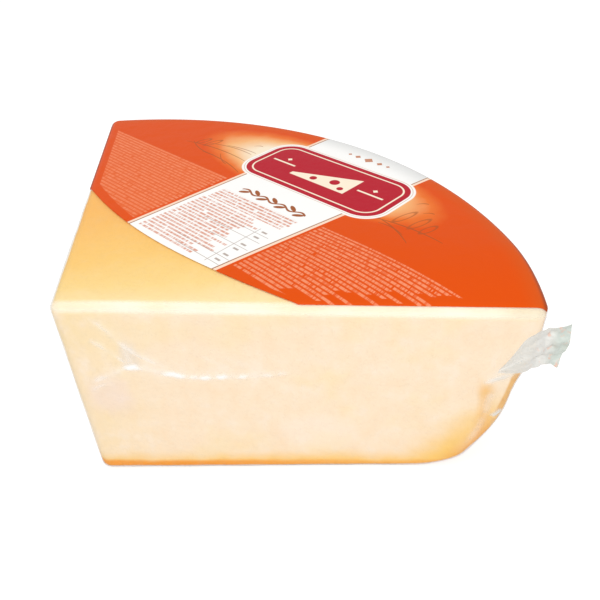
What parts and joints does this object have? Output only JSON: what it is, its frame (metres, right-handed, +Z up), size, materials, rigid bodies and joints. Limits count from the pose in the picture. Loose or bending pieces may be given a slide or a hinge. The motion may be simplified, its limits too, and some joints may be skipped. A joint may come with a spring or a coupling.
{
  "type": "vacuum packed parmesan wedge",
  "caption": "Thick wedge of hard aged cheese with a curved rind, sealed in clear vacuum film that gathers to a small ear, with a printed label over its flat top.",
  "frame": {"origin": "bottom centre of the bounding box, on the plane of the flat rind face it rests on", "axes": "+X along the front cut face from the wedge's point towards the rim and the bag's ear, +Y away from the front cut face, +Z up through the labelled face"},
  "size_m": [0.2494, 0.21, 0.1076],
  "materials": {
    "filmed_cheese": "pale yellow hard cheese under clear glossy film, golden at the rind",
    "label_print": "satin printed film, orange with a white band"
  },
  "bodies": {
    "root": {"vacuum_pack": "filmed_cheese", "label": "label_print"}
  },
  "joints": []
}
